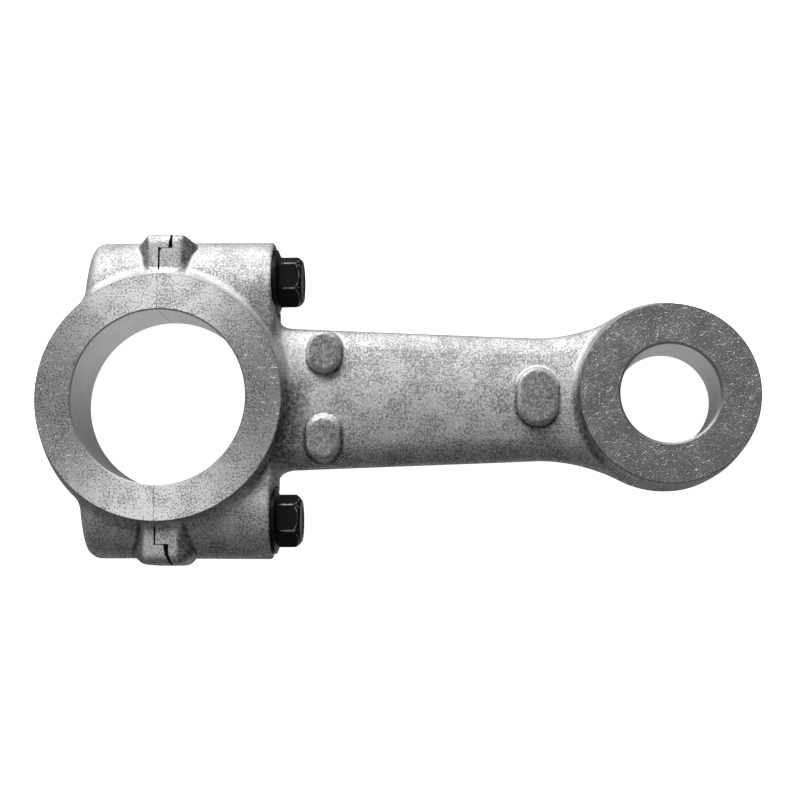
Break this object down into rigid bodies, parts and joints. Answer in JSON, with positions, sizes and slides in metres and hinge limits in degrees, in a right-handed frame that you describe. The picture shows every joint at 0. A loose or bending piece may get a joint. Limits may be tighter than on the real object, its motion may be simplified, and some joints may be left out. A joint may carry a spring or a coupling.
{
  "type": "connecting rod",
  "caption": "Die cast aluminium connecting rod with a split big end, a stepped bearing cap held by flange bolts, an oval-padded shank and a plain small-end bore.",
  "frame": {"origin": "centre of the big-end bore at half thickness", "axes": "+Z along both bore axes, +X along the rod from the big end to the small end, +Y across the rod towards the upper bolt"},
  "size_m": [0.2031, 0.0922, 0.025],
  "materials": {
    "cast_rod": "tumbled die casting with machined faces and bores",
    "cast_cap": "tumbled die casting with machined faces and bore",
    "black_bolt": "black oxide steel, slightly glossy"
  },
  "bodies": {
    "rod": {"rod_body": "cast_rod"},
    "cap": {"bearing_cap": "cast_cap"},
    "bolt_upper": {"upper_bolt": "black_bolt"},
    "bolt_lower": {"lower_bolt": "black_bolt"}
  },
  "joints": [
    {"name": "cap_removal", "type": "slide", "parent": "rod", "child": "cap", "axis": [-1, 0, 0], "range_m": [0, 0.035]},
    {"name": "upper_bolt_removal", "type": "slide", "parent": "rod", "child": "bolt_upper", "axis": [1, 0, 0], "range_m": [0, 0.05]},
    {"name": "lower_bolt_removal", "type": "slide", "parent": "rod", "child": "bolt_lower", "axis": [1, 0, 0], "range_m": [0, 0.05]}
  ]
}
